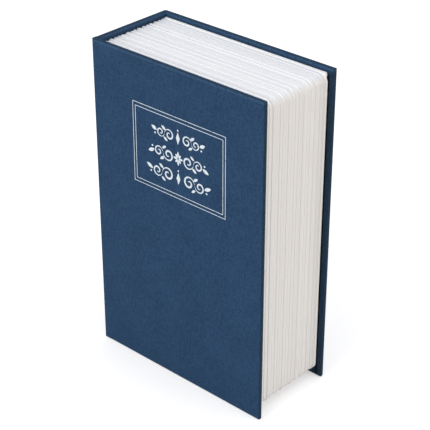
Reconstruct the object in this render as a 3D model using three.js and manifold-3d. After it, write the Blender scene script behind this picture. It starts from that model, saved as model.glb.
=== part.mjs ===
import * as THREE from 'three';
import { mergeVertices } from 'three/addons/utils/BufferGeometryUtils.js';
import Module from 'manifold-3d';

// A small cash safe hidden in a false book, which stands upright on its lower edges.
// Millimetres. X runs from the spine to the fore edge, Y from the front cover to the back
// cover, Z up. The origin is the middle of the closed book's lower face.

const wasm = await Module();
wasm.setup();

// Size of the closed book
const bookWidth = 114;
const bookThickness = 53;
const bookHeight = 180;

// Cloth-covered boards
const clothThickness = 0.4;
const greyboardThickness = 1.4;
const clothTurnIn = 12;
const coverEdgeRadius = 0.6;
const spineCornerRadius = 1.6;

// Cloth joint: a free strip that folds at the spine's corner and at the front board's edge
const foldAxisDepth = 0.45;
const jointOnFront = 3.6;
const jointOnSpine = 2.4;
const foldClearance = 0.15;

// Endpapers
const paperThickness = 0.3;
const paperPastPages = 0.2;

// False pages, a hollow moulding that is ribbed on three sides
const coverPastPagesEnds = 3.1;
const coverPastPagesFore = 3.8;
const pageCornerRadius = 5;
const pageWall = 2.4;
const pageRimWidth = 7.5;
const pageRimThickness = 1.6;
const panWall = 1.4;
const seatWidth = 13;
const seatThickness = 2;
const panCornerRadius = 3.4;
const ribCount = 34;
const ribDepth = 0.5;
const ribStagger = 0.35;
const ribUnevenness = 0.45;
const ribGroove = 0.32;
const ribGrooveShare = 0.3;
// Angles in radians that make one rib differ from the next without repeating
const ribWidthTurn = 2.4;
const ribWidthSwing = 1.3;
const ribWidthDrift = 1.7;
const ribCrestTurn = 3.9;
const ribCrestStart = 0.8;

// Steel box and its lid
const boxSheet = 0.8;
const boxRim = 5;
const boxClearance = 0.3;
const lidSheet = 0.8;
const lidRecess = 4.4;
const lidClearance = 0.5;
const hemWidth = 6;
const restGap = 0.1;

// Piano hinge
const hingePinRadius = 0.9;
const hingeBoreClearance = 0.12;
const hingeSheet = 0.8;
const hingeFromBoxSide = 5.2;
const hingeFromBoxEnds = 4.8;
const boxLeafWidth = 4.6;
const lidLeafWidth = 9;
const knuckleCount = 11;
const knuckleGap = 0.3;

// Cam lock
const lockSetback = 13.5;
const lockFlangeRadius = 9.5;
const lockFlangeThickness = 1.8;
const lockFlangeChamfer = 0.9;
const barrelRadius = 8;
const barrelFlatWidth = 14;
const barrelLength = 10.4;
const barrelHoleClearance = 0.2;
const plugRadius = 5;
const plugFaceRadius = 5.8;
const plugFaceThickness = 1.4;
const plugClearance = 0.15;
const keywayWidth = 1.5;
const keywayHeight = 7.4;
const keywayDepth = 8;
const tailSquare = 6;
const lockNutAcrossFlats = 19;
const lockNutThickness = 2.6;
const lockWasherThickness = 0.7;
const camThickness = 1.5;
const camWidth = 10;
const camReach = 16;
const camTipRadius = 3.5;
const camScrewRadius = 1.9;
const camScrewHeadRadius = 3.6;
const camScrewHeadHeight = 2;
const camScrewRimHeight = 0.8;
const camScrewSlotWidth = 1.3;
const camScrewSlotReach = 2.2;
const camScrewSlotDepth = 1.1;
const camScrewLength = 6;
const camWasherRadius = 4.6;
const camWasherThickness = 0.7;
const threadClearance = 0.12;

// Strike that the cam catches
const strikeSheet = 1;
const strikeReach = 6.4;
const strikeLeg = 12;
const strikeHeight = 24;
const strikeCorner = 2;
const strikeClearance = 0.3;

// Rivets through the floor of the box
const rivetShankRadius = 1.5;
const rivetHeadRadius = 3;
const rivetHeadHeight = 1;
const rivetTailRadius = 2.3;
const rivetTailHeight = 0.9;
const rivetHoleClearance = 0.15;
const rivetInset = 6.5;
const counterboreRadius = 2.6;
const counterboreDepth = 1.2;

// Film of glue, paint or weld between pieces that are fixed together
const bondGap = 0.02;

// Facets of a full circle, of a quarter corner and of a dome's side
const roundFacets = 32;
const smallRoundFacets = 16;
const cornerFacets = 5;
const domeFacets = 3;
const edgeFacets = 3;
// Least radius that an inner corner keeps
const leastRadius = 0.5;
// How far a cutting tool runs past what it cuts
const toolRun = 2;

const colours = {
  cloth: 0x2b4664,
  greyboard: 0x8d8a82,
  paper: 0xeeece6,
  pages: 0xe6e5e2,
  steelPaint: 0x1d1e20,
  zincPlate: 0xb9bcbd,
  chrome: 0xc9ccce,
  aluminium: 0xb4b7b9,
};

const finishes = {
  cloth: new THREE.MeshStandardMaterial({ color: colours.cloth, roughness: 0.85, metalness: 0 }),
  greyboard: new THREE.MeshStandardMaterial({ color: colours.greyboard, roughness: 0.9, metalness: 0 }),
  paper: new THREE.MeshStandardMaterial({ color: colours.paper, roughness: 0.8, metalness: 0 }),
  pages: new THREE.MeshStandardMaterial({ color: colours.pages, roughness: 0.45, metalness: 0 }),
  paint: new THREE.MeshStandardMaterial({ color: colours.steelPaint, roughness: 0.5, metalness: 0.1 }),
  zinc: new THREE.MeshStandardMaterial({ color: colours.zincPlate, roughness: 0.35, metalness: 1 }),
  chrome: new THREE.MeshStandardMaterial({ color: colours.chrome, roughness: 0.12, metalness: 1 }),
  aluminium: new THREE.MeshStandardMaterial({ color: colours.aluminium, roughness: 0.3, metalness: 1 }),
};

// Places along X
const spineOuter = -bookWidth / 2;
const foreOuter = bookWidth / 2;
const coverThickness = greyboardThickness + 2 * clothThickness;
const spineInner = spineOuter + coverThickness;
const pagesSpine = spineInner + bondGap;
const pagesFore = foreOuter - coverPastPagesFore;
const panFore = pagesFore - pageRimWidth;
const panSpine = pagesSpine + pageRimWidth;
const boxFore = panFore - boxClearance;
const boxSpine = panSpine + boxClearance;
const mouthFore = boxFore - boxSheet - boxRim;
const mouthSpine = boxSpine + boxSheet + boxRim;
const hingeX = boxSpine + hingeFromBoxSide;
const lockX = mouthFore - lockSetback;

// Places along Z
const pagesLow = coverPastPagesEnds;
const pagesHigh = bookHeight - coverPastPagesEnds;
const panLow = pagesLow + pageRimWidth;
const panHigh = pagesHigh - pageRimWidth;
const boxLow = panLow + boxClearance;
const boxHigh = panHigh - boxClearance;
const midHeight = bookHeight / 2;
const hingeLow = boxLow + hingeFromBoxEnds;
const hingeHigh = boxHigh - hingeFromBoxEnds;
const hingeLength = hingeHigh - hingeLow;

// Places along Y, from the front to the back
const frontOuter = -bookThickness / 2;
const backOuter = bookThickness / 2;
const frontInner = frontOuter + coverThickness;
const backInner = backOuter - coverThickness;
const pagesFront = frontInner + bondGap + paperThickness + restGap;
const pagesBack = backInner - paperThickness - 2 * bondGap;
const seatFront = pagesBack - seatThickness;
const lidOuter = pagesFront + lidRecess;
const lidUnder = lidOuter + lidSheet;
const boxFront = lidUnder + Math.max(hingeSheet + 2 * bondGap, lidSheet + restGap);
const boxBack = seatFront - bondGap;
const boxFloor = boxBack - boxSheet;
const leafBack = boxFront - bondGap;
const leafFront = leafBack - hingeSheet;
const knuckleRadius = hingePinRadius + hingeBoreClearance + hingeSheet;
const hingeY = leafBack - knuckleRadius;
const barrelBack = lidOuter + barrelLength;
const camFront = barrelBack + restGap;
const camBack = camFront + camThickness;

// Axis of the fold at the spine's corner, and of the fold at the board, on the outer face
const foldX = spineOuter + foldAxisDepth;
const foldY = frontOuter + foldAxisDepth;
const boardFoldX = foldX + jointOnFront;

// Solids

function solidOf(geometry) {
  const bare = geometry.index ? geometry.toNonIndexed() : geometry.clone();
  bare.deleteAttribute('normal');
  bare.deleteAttribute('uv');
  const merged = mergeVertices(bare, 1e-5);
  const vertProperties = new Float32Array(merged.attributes.position.array);
  const triVerts = new Uint32Array(merged.index.array);
  return new wasm.Manifold(new wasm.Mesh({ numProp: 3, vertProperties, triVerts }));
}

function geometryOf(solid) {
  const mesh = solid.getMesh();
  const geometry = new THREE.BufferGeometry();
  geometry.setAttribute('position', new THREE.BufferAttribute(mesh.vertProperties, 3));
  geometry.setIndex(new THREE.BufferAttribute(mesh.triVerts, 1));
  return geometry;
}

function block([x0, x1], [y0, y1], [z0, z1]) {
  const geometry = new THREE.BoxGeometry(x1 - x0, y1 - y0, z1 - z0);
  geometry.translate((x0 + x1) / 2, (y0 + y1) / 2, (z0 + z1) / 2);
  return solidOf(geometry);
}

// A rectangle in X and Z with round corners, radii given spine side first
function panelShape([x0, x1], [z0, z1], spineRadius, foreRadius = spineRadius) {
  const shape = new THREE.Shape();
  shape.moveTo(x0 + spineRadius, z0);
  shape.lineTo(x1 - foreRadius, z0);
  if (foreRadius > 0) shape.absarc(x1 - foreRadius, z0 + foreRadius, foreRadius, -Math.PI / 2, 0);
  shape.lineTo(x1, z1 - foreRadius);
  if (foreRadius > 0) shape.absarc(x1 - foreRadius, z1 - foreRadius, foreRadius, 0, Math.PI / 2);
  shape.lineTo(x0 + spineRadius, z1);
  if (spineRadius > 0) shape.absarc(x0 + spineRadius, z1 - spineRadius, spineRadius, Math.PI / 2, Math.PI);
  shape.lineTo(x0, z0 + spineRadius);
  if (spineRadius > 0) shape.absarc(x0 + spineRadius, z0 + spineRadius, spineRadius, Math.PI, 1.5 * Math.PI);
  return shape;
}

// Extrudes a shape drawn in X and Z from y0 to y1
function plate(shape, [y0, y1], options = {}) {
  const depth = y1 - y0 - 2 * (options.bevelThickness ?? 0);
  const settings = { depth, bevelEnabled: false, curveSegments: cornerFacets, ...options };
  const geometry = new THREE.ExtrudeGeometry(shape, settings);
  geometry.translate(0, 0, options.bevelThickness ?? 0);
  geometry.rotateX(Math.PI / 2);
  geometry.translate(0, y1, 0);
  return solidOf(geometry);
}

// Extrudes a shape drawn in X and Y from z0 to z1
function bar(shape, [z0, z1]) {
  const settings = { depth: z1 - z0, bevelEnabled: false, curveSegments: smallRoundFacets / 2 };
  const geometry = new THREE.ExtrudeGeometry(shape, settings);
  geometry.translate(0, 0, z0);
  return solidOf(geometry);
}

// A disc or shaft along Y, about the line through x and z
function shaft(radius, [y0, y1], x, z, facets = roundFacets) {
  const geometry = new THREE.CylinderGeometry(radius, radius, y1 - y0, facets);
  geometry.translate(x, (y0 + y1) / 2, z);
  return solidOf(geometry);
}

// A turned piece about a line along Y: each profile point is [radius, y]
function turned(profile, x, z, facets = roundFacets) {
  const points = profile.map(([radius, y]) => new THREE.Vector2(radius, y));
  const geometry = new THREE.LatheGeometry(points, facets);
  geometry.translate(x, 0, z);
  return solidOf(geometry);
}

// Profile of a round dome, from its crown down to its rim at base
function domeProfile(radius, base, rise) {
  const profile = [];
  for (let step = 0; step <= domeFacets; step += 1) {
    const angle = (Math.PI / 2) * (step / domeFacets);
    profile.push([radius * Math.sin(angle), base + rise * Math.cos(angle)]);
  }
  return profile;
}

// Turns every triangle round if the closed surface is inside out
function facingOut(geometry) {
  const place = geometry.attributes.position;
  const index = geometry.index.array;
  const a = new THREE.Vector3();
  const b = new THREE.Vector3();
  const c = new THREE.Vector3();
  let volume = 0;
  for (let i = 0; i < index.length; i += 3) {
    a.fromBufferAttribute(place, index[i]);
    b.fromBufferAttribute(place, index[i + 1]);
    c.fromBufferAttribute(place, index[i + 2]);
    volume += a.dot(b.cross(c)) / 6;
  }
  if (volume < 0) {
    for (let i = 0; i < index.length; i += 3) {
      [index[i + 1], index[i + 2]] = [index[i + 2], index[i + 1]];
    }
  }
  return geometry;
}

const assembly = new THREE.Group();

function addPiece(parent, name, solid, material) {
  const mesh = new THREE.Mesh(geometryOf(solid), material);
  mesh.name = name;
  parent.add(mesh);
}

// Cloth-covered boards
// Each cover is a greyboard with cloth over its outer face, round its free edges and
// turned in on its inner face. side is -1 for a cover that faces -Y and 1 for +Y.

function coverSpan(side, fromOuter, toOuter) {
  const outer = side < 0 ? frontOuter : backOuter;
  const places = [outer - side * fromOuter, outer - side * toOuter];
  return places.sort((a, b) => a - b);
}

function coverCloth(side, startX) {
  const whole = coverSpan(side, 0, coverThickness);
  const inset = coverEdgeRadius;
  const runOn = toolRun + inset;
  const outline = panelShape([startX - runOn, foreOuter - inset], [inset, bookHeight - inset], 0);
  const rounded = { bevelEnabled: true, bevelThickness: inset, bevelSize: inset,
    bevelSegments: edgeFacets };
  const skin = plate(outline, whole, rounded);
  const square = block([startX, foreOuter + toolRun], whole, [-toolRun, bookHeight + toolRun]);
  const boardRoom = block(
    [startX - toolRun, foreOuter - clothThickness],
    coverSpan(side, clothThickness, clothThickness + greyboardThickness),
    [clothThickness, bookHeight - clothThickness],
  );
  const window = block(
    [startX - toolRun, foreOuter - clothTurnIn],
    coverSpan(side, clothThickness, coverThickness + toolRun),
    [clothTurnIn, bookHeight - clothTurnIn],
  );
  return skin.intersect(square).subtract(boardRoom).subtract(window);
}

function coverBoard(side, startX) {
  return block(
    [startX, foreOuter - clothThickness - bondGap],
    coverSpan(side, clothThickness + bondGap, clothThickness + greyboardThickness - bondGap),
    [clothThickness + bondGap, bookHeight - clothThickness - bondGap],
  );
}

// Paper over the turned-in cloth, pressed down to the board in the middle
function endpaper(side, startX) {
  const spanX = [startX, pagesFore + paperPastPages];
  const spanZ = [pagesLow - paperPastPages, pagesHigh + paperPastPages];
  const onCloth = coverThickness + bondGap;
  const onBoard = clothThickness + greyboardThickness + bondGap;
  const wellX = [startX - toolRun, foreOuter - clothTurnIn - bondGap];
  const wellZ = [clothTurnIn + bondGap, bookHeight - clothTurnIn - bondGap];
  const grown = paperThickness + bondGap;
  const sheet = block(spanX, coverSpan(side, onCloth, onCloth + paperThickness), spanZ);
  const pressed = block([startX, wellX[1]], coverSpan(side, onBoard, onCloth + paperThickness), wellZ);
  const hollow = block(
    [wellX[0], wellX[1] - grown],
    coverSpan(side, onBoard + paperThickness, onCloth + paperThickness + toolRun),
    [wellZ[0] + grown, wellZ[1] - grown],
  );
  return sheet.add(pressed).subtract(hollow);
}

const frontStart = boardFoldX + foldClearance;
addPiece(assembly, 'front_cloth', coverCloth(-1, frontStart), finishes.cloth);
addPiece(assembly, 'front_board', coverBoard(-1, frontStart), finishes.greyboard);
addPiece(assembly, 'front_endpaper', endpaper(-1, frontStart), finishes.paper);

// The back cover runs to the spine's outer face, with its cloth round the corner
function backCornerRound() {
  const shape = new THREE.Shape();
  const r = spineCornerRadius;
  const y = backOuter;
  shape.moveTo(spineOuter - toolRun, y - r);
  shape.lineTo(spineOuter, y - r);
  shape.absarc(spineOuter + r, y - r, r, Math.PI, Math.PI / 2, true);
  shape.lineTo(spineOuter + r, y + toolRun);
  shape.lineTo(spineOuter - toolRun, y + toolRun);
  return bar(shape, [-toolRun, bookHeight + toolRun]);
}

const clothOnCorner = block(
  [spineOuter, spineOuter + clothThickness],
  [backInner, backOuter],
  [coverEdgeRadius, bookHeight - coverEdgeRadius],
);
const backCloth = coverCloth(1, spineOuter + clothThickness - bondGap)
  .add(clothOnCorner)
  .subtract(backCornerRound());
const backBoardStart = spineOuter + Math.max(clothThickness, spineCornerRadius);
addPiece(assembly, 'back_cloth', backCloth, finishes.cloth);
addPiece(assembly, 'back_board', coverBoard(1, backBoardStart), finishes.greyboard);
addPiece(assembly, 'back_endpaper', endpaper(1, pagesSpine), finishes.paper);

// The spine stands between the cloth joint and the back cover
const spineSpanY = [foldY + jointOnSpine, backInner - bondGap];

function spineCloth() {
  const inset = coverEdgeRadius;
  const shape = panelShape(spineSpanY, [inset, bookHeight - inset], 0);
  const rounded = { depth: coverThickness - 2 * inset, bevelEnabled: true, bevelThickness: inset,
    bevelSize: inset, bevelSegments: edgeFacets };
  const geometry = new THREE.ExtrudeGeometry(shape, rounded);
  geometry.translate(0, 0, inset);
  geometry.rotateX(Math.PI / 2);
  geometry.rotateZ(Math.PI / 2);
  geometry.translate(spineOuter, 0, 0);
  const across = [spineOuter, spineInner];
  const core = [spineOuter + clothThickness, spineInner - clothThickness];
  const longY = [spineSpanY[0] - toolRun, spineSpanY[1] + toolRun];
  const square = block(across, spineSpanY, [-toolRun, bookHeight + toolRun]);
  const boardRoom = block(core, longY, [clothThickness, bookHeight - clothThickness]);
  const windowZ = [clothTurnIn, bookHeight - clothTurnIn];
  const window = block([core[0], spineInner + toolRun], longY, windowZ);
  return solidOf(geometry).intersect(square).subtract(boardRoom).subtract(window);
}

addPiece(assembly, 'spine_cloth', spineCloth(), finishes.cloth);
addPiece(assembly, 'spine_board', block(
  [spineOuter + clothThickness + bondGap, spineInner - clothThickness - bondGap],
  spineSpanY,
  [clothThickness + bondGap, bookHeight - clothThickness - bondGap],
), finishes.greyboard);

// Free cloth between the spine and the front cover, folded round the corner
function hingeCloth() {
  const shape = new THREE.Shape();
  const onFront = boardFoldX - foldClearance;
  const onSpine = foldY + jointOnSpine - foldClearance;
  const outerRadius = foldAxisDepth;
  const innerRadius = foldAxisDepth - clothThickness;
  shape.moveTo(onFront, frontOuter);
  shape.lineTo(onFront, frontOuter + clothThickness);
  shape.lineTo(foldX, frontOuter + clothThickness);
  shape.absarc(foldX, foldY, innerRadius, -Math.PI / 2, -Math.PI, true);
  shape.lineTo(spineOuter + clothThickness, onSpine);
  shape.lineTo(spineOuter, onSpine);
  shape.lineTo(spineOuter, foldY);
  shape.absarc(foldX, foldY, outerRadius, Math.PI, 1.5 * Math.PI, false);
  return bar(shape, [0, bookHeight]);
}

addPiece(assembly, 'hinge_cloth', hingeCloth(), finishes.cloth);

// False pages
// The moulding is built as layers from front to back. Each layer is the outline of the page
// block drawn in by its inset, so that ribs run along the top, round the fore corners, down
// the fore edge and back along the bottom.

function ribLayers() {
  const shares = [];
  for (let rib = 0; rib < ribCount; rib += 1) {
    const turn = ribWidthTurn * rib + ribWidthSwing * Math.sin(ribWidthDrift * rib);
    shares.push(1 + ribUnevenness * Math.sin(turn));
  }
  const total = shares.reduce((sum, share) => sum + share, 0);
  const depth = pagesBack - pagesFront;
  const layers = [];
  let y = pagesFront;
  shares.forEach((share, rib) => {
    const width = (depth * share) / total;
    const crest = (ribStagger * (1 + Math.sin(ribCrestTurn * rib + ribCrestStart))) / 2;
    const groove = Math.min(ribGroove, ribGrooveShare * width);
    layers.push({ y: rib === 0 ? y : y + groove, inset: crest });
    layers.push({ y: y + width - groove, inset: crest });
    if (rib < ribCount - 1) layers.push({ y: y + width, inset: crest + ribDepth });
    y += width;
  });
  layers[layers.length - 1].y = pagesBack;
  return layers;
}

function pageOutline(inset) {
  const fore = pagesFore - inset;
  const low = pagesLow + inset;
  const high = pagesHigh - inset;
  const radius = Math.max(pageCornerRadius - inset, leastRadius);
  const points = [new THREE.Vector2(pagesSpine, low)];
  const corners = [[low + radius, -Math.PI / 2], [high - radius, 0]];
  for (const [centre, start] of corners) {
    for (let step = 0; step <= cornerFacets; step += 1) {
      const angle = start + (step / cornerFacets) * (Math.PI / 2);
      const x = fore - radius + radius * Math.cos(angle);
      points.push(new THREE.Vector2(x, centre + radius * Math.sin(angle)));
    }
  }
  points.push(new THREE.Vector2(pagesSpine, high));
  return points;
}

function ribbedBlock() {
  const layers = ribLayers();
  const positions = [];
  const index = [];
  layers.forEach(({ y, inset }) => {
    pageOutline(inset).forEach((point) => positions.push(point.x, y, point.y));
  });
  const count = pageOutline(0).length;
  for (let layer = 0; layer < layers.length - 1; layer += 1) {
    for (let side = 0; side < count; side += 1) {
      const next = (side + 1) % count;
      const a = layer * count + side;
      const b = layer * count + next;
      index.push(a, b, b + count, a, b + count, a + count);
    }
  }
  const last = (layers.length - 1) * count;
  const cap = THREE.ShapeUtils.triangulateShape(pageOutline(layers[0].inset), []);
  cap.forEach(([a, b, c]) => {
    index.push(a, c, b);
    index.push(last + a, last + b, last + c);
  });
  const geometry = new THREE.BufferGeometry();
  geometry.setAttribute('position', new THREE.Float32BufferAttribute(positions, 3));
  geometry.setIndex(index);
  return facingOut(geometry);
}

const rivetPlaces = [];
for (const x of [boxSpine + rivetInset, boxFore - rivetInset]) {
  for (const z of [boxLow + rivetInset, boxHigh - rivetInset]) {
    rivetPlaces.push([x, z]);
  }
}

function pageBlock() {
  const panX = [panSpine, panFore];
  const panZ = [panLow, panHigh];
  const pan = plate(panelShape(panX, panZ, panCornerRadius), [pagesFront - toolRun, seatFront]);
  const seatHole = plate(
    panelShape(
      [panSpine + seatWidth, panFore - seatWidth],
      [panLow + seatWidth, panHigh - seatWidth],
      panCornerRadius,
    ),
    [seatFront - toolRun, pagesBack + toolRun],
  );
  // The outer skin and the pan are joined by the front rim only, so the back is open
  const hollow = panelShape(
    [pagesSpine + pageWall, pagesFore - pageWall],
    [pagesLow + pageWall, pagesHigh - pageWall],
    leastRadius,
    Math.max(pageCornerRadius - pageWall, leastRadius),
  );
  const panOutside = panelShape(
    [panSpine - panWall, panFore + panWall],
    [panLow - panWall, panHigh + panWall],
    panCornerRadius + panWall,
  );
  const rimBack = pagesFront + pageRimThickness;
  const channel = plate(hollow, [rimBack, pagesBack + toolRun])
    .subtract(plate(panOutside, [rimBack - toolRun, pagesBack + 2 * toolRun]));
  let moulding = solidOf(ribbedBlock()).subtract(channel).subtract(pan).subtract(seatHole);
  for (const [x, z] of rivetPlaces) {
    const hole = shaft(rivetShankRadius + rivetHoleClearance,
      [seatFront - toolRun, pagesBack + toolRun], x, z, smallRoundFacets);
    const bulbRoom = shaft(counterboreRadius, [pagesBack - counterboreDepth, pagesBack + toolRun],
      x, z, smallRoundFacets);
    moulding = moulding.subtract(hole).subtract(bulbRoom);
  }
  return moulding;
}

addPiece(assembly, 'page_block', pageBlock(), finishes.pages);

// Steel box
const boxCorner = panCornerRadius - boxClearance;

function steelBox() {
  const outer = panelShape([boxSpine, boxFore], [boxLow, boxHigh], boxCorner);
  const inner = panelShape(
    [boxSpine + boxSheet, boxFore - boxSheet],
    [boxLow + boxSheet, boxHigh - boxSheet],
    boxCorner - boxSheet,
  );
  const mouth = panelShape(
    [mouthSpine, mouthFore],
    [boxLow + boxSheet + boxRim, boxHigh - boxSheet - boxRim],
    boxCorner - boxSheet,
  );
  let box = plate(outer, [boxFront, boxBack])
    .subtract(plate(inner, [boxFront + boxSheet, boxFloor]))
    .subtract(plate(mouth, [boxFront - toolRun, boxFront + boxSheet + toolRun]));
  for (const [x, z] of rivetPlaces) {
    box = box.subtract(shaft(rivetShankRadius + rivetHoleClearance,
      [boxFloor - toolRun, boxBack + toolRun], x, z, smallRoundFacets));
  }
  return box;
}

addPiece(assembly, 'steel_box', steelBox(), finishes.paint);

// Rivets: a domed head inside the box, a bulbed tail in the moulding's counterbore
rivetPlaces.forEach(([x, z], place) => {
  const headBase = boxFloor - bondGap;
  const tailBase = pagesBack - counterboreDepth + bondGap;
  const rivet = turned([
    ...domeProfile(rivetHeadRadius, headBase, -rivetHeadHeight),
    [rivetShankRadius, headBase],
    [rivetShankRadius, tailBase],
    ...domeProfile(rivetTailRadius, tailBase, rivetTailHeight).reverse(),
  ], x, z, smallRoundFacets);
  addPiece(assembly, `rivet_${place + 1}`, rivet, finishes.aluminium);
});

// Strike: an angle welded to the box wall, whose shelf the cam turns in behind
function strike() {
  const wall = boxFore - boxSheet - bondGap;
  const spanZ = [midHeight - strikeHeight / 2, midHeight + strikeHeight / 2];
  const catchBack = camFront - strikeClearance;
  const catchFront = catchBack - strikeSheet;
  const foot = block([wall - strikeSheet, wall], [catchFront, catchBack + strikeLeg], spanZ);
  const shelf = new THREE.Shape();
  shelf.moveTo(wall, spanZ[0]);
  shelf.lineTo(wall, spanZ[1]);
  shelf.lineTo(wall - strikeReach + strikeCorner, spanZ[1]);
  shelf.lineTo(wall - strikeReach, spanZ[1] - strikeCorner);
  shelf.lineTo(wall - strikeReach, spanZ[0] + strikeCorner);
  shelf.lineTo(wall - strikeReach + strikeCorner, spanZ[0]);
  return foot.add(plate(shelf, [catchFront, catchBack]));
}

addPiece(assembly, 'strike', strike(), finishes.zinc);

// Piano hinge
// Each leaf is one strip whose edge is cut into tabs and rolled round the pin. The box's
// knuckles and the lid's take turns along the pin.

function knuckleSpans(owner) {
  const pitch = hingeLength / knuckleCount;
  const spans = [];
  for (let knuckle = owner; knuckle < knuckleCount; knuckle += 2) {
    const gapBelow = knuckle > 0 ? knuckleGap / 2 : 0;
    const gapAbove = knuckle < knuckleCount - 1 ? knuckleGap / 2 : 0;
    const low = hingeLow + knuckle * pitch;
    spans.push([low + gapBelow, low + pitch - gapAbove]);
  }
  return spans;
}

// One rolled tab: a ring round the pin that runs out flat into the leaf
function knuckleShape(side) {
  const shape = new THREE.Shape();
  const reach = knuckleRadius + knuckleGap;
  const rise = leafFront - hingeY;
  const meet = Math.sqrt(knuckleRadius ** 2 - rise ** 2);
  shape.moveTo(hingeX + side * reach, leafBack);
  shape.lineTo(hingeX + side * reach, leafFront);
  shape.lineTo(hingeX + side * meet, leafFront);
  const start = Math.atan2(rise, meet);
  const sweep = 1.5 * Math.PI + start;
  for (let step = 1; step <= smallRoundFacets; step += 1) {
    const angle = start - sweep * (step / smallRoundFacets);
    shape.lineTo(
      hingeX + side * knuckleRadius * Math.cos(angle),
      hingeY + knuckleRadius * Math.sin(angle),
    );
  }
  const bore = new THREE.Path();
  bore.absarc(hingeX, hingeY, hingePinRadius + hingeBoreClearance, 0, 2 * Math.PI, false);
  shape.holes.push(bore);
  return shape;
}

function hingeLeaf(side, width, owner) {
  const clearOfKnuckles = knuckleRadius + knuckleGap;
  const near = hingeX + side * clearOfKnuckles;
  const far = hingeX + side * width;
  const spanX = [Math.min(near, far), Math.max(near, far)];
  let leaf = block(spanX, [leafFront, leafBack], [hingeLow, hingeHigh]);
  for (const span of knuckleSpans(owner)) {
    leaf = leaf.add(bar(knuckleShape(side), span));
  }
  return leaf;
}

addPiece(assembly, 'hinge_box_leaf', hingeLeaf(-1, boxLeafWidth, 0), finishes.zinc);
addPiece(assembly, 'hinge_lid_leaf', hingeLeaf(1, lidLeafWidth, 1), finishes.zinc);

function hingePin() {
  const radius = hingePinRadius;
  const geometry = new THREE.CylinderGeometry(radius, radius, hingeLength, smallRoundFacets);
  geometry.rotateX(Math.PI / 2);
  geometry.translate(hingeX, hingeY, (hingeLow + hingeHigh) / 2);
  return solidOf(geometry);
}

addPiece(assembly, 'hinge_pin', hingePin(), finishes.zinc);

// Lock body, round with two flats, and with a clearance also the hole that it fits
function barrelSection(clearance, spanY) {
  const half = barrelFlatWidth / 2 + clearance;
  const reach = barrelRadius + clearance + toolRun;
  const round = shaft(barrelRadius + clearance, spanY, lockX, midHeight);
  const flats = block([lockX - half, lockX + half], spanY, [midHeight - reach, midHeight + reach]);
  return round.intersect(flats);
}

// Lid: a sheet with its three free edges folded back on themselves
function lid() {
  const nearHinge = hingeX + knuckleRadius + knuckleGap;
  const spanX = [nearHinge, panFore - lidClearance];
  const spanZ = [panLow + lidClearance, panHigh - lidClearance];
  const foreRadius = panCornerRadius - lidClearance;
  const sheet = plate(panelShape(spanX, spanZ, 0, foreRadius), [lidOuter, lidUnder]);
  const hemBack = lidUnder + lidSheet;
  const hem = plate(panelShape(spanX, spanZ, 0, foreRadius), [lidOuter + lidSheet / 2, hemBack]);
  const insideHem = block(
    [spanX[0] - toolRun, spanX[1] - hemWidth],
    [lidUnder, hemBack + toolRun],
    [spanZ[0] + hemWidth, spanZ[1] - hemWidth],
  );
  const leafRoom = block(
    [spanX[0] - toolRun, hingeX + lidLeafWidth + knuckleGap],
    [lidUnder, hemBack + toolRun],
    [hingeLow - knuckleGap, hingeHigh + knuckleGap],
  );
  const lockHole = barrelSection(barrelHoleClearance, [lidOuter - toolRun, hemBack + toolRun]);
  return sheet.add(hem).subtract(insideHem).subtract(leafRoom).subtract(lockHole);
}

addPiece(assembly, 'lid', lid(), finishes.paint);

// Cam lock
const flangeFront = lidOuter - bondGap - lockFlangeThickness;
const plugBore = plugRadius + plugClearance;

function lockBarrel() {
  const flange = turned([
    [0, flangeFront],
    [lockFlangeRadius - lockFlangeChamfer, flangeFront],
    [lockFlangeRadius, flangeFront + lockFlangeChamfer],
    [lockFlangeRadius, lidOuter - bondGap],
    [0, lidOuter - bondGap],
  ], lockX, midHeight);
  const body = barrelSection(0, [lidOuter - lockFlangeThickness / 2, barrelBack]);
  const bore = shaft(plugBore, [flangeFront - toolRun, barrelBack + toolRun], lockX, midHeight);
  const faceRoom = shaft(plugFaceRadius + plugClearance,
    [flangeFront - toolRun, flangeFront + plugFaceThickness + plugClearance], lockX, midHeight);
  return flange.add(body).subtract(bore).subtract(faceRoom);
}

addPiece(assembly, 'lock_barrel', lockBarrel(), finishes.chrome);

const washerFront = lidUnder + bondGap;
const nutFront = washerFront + lockWasherThickness + bondGap;

function ring(outerRadius, innerRadius, [y0, y1], facets = roundFacets) {
  const outer = shaft(outerRadius, [y0, y1], lockX, midHeight, facets);
  return outer.subtract(shaft(innerRadius, [y0 - toolRun, y1 + toolRun], lockX, midHeight));
}

const barrelHoleRadius = barrelRadius + barrelHoleClearance;
const washerSpan = [washerFront, washerFront + lockWasherThickness];
addPiece(assembly, 'lock_washer', ring(lockFlangeRadius, barrelHoleRadius, washerSpan), finishes.zinc);

const nutCorner = lockNutAcrossFlats / Math.sqrt(3);
const nutSpan = [nutFront, nutFront + lockNutThickness];
addPiece(assembly, 'lock_nut', ring(nutCorner, barrelHoleRadius, nutSpan, 6), finishes.zinc);

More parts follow.
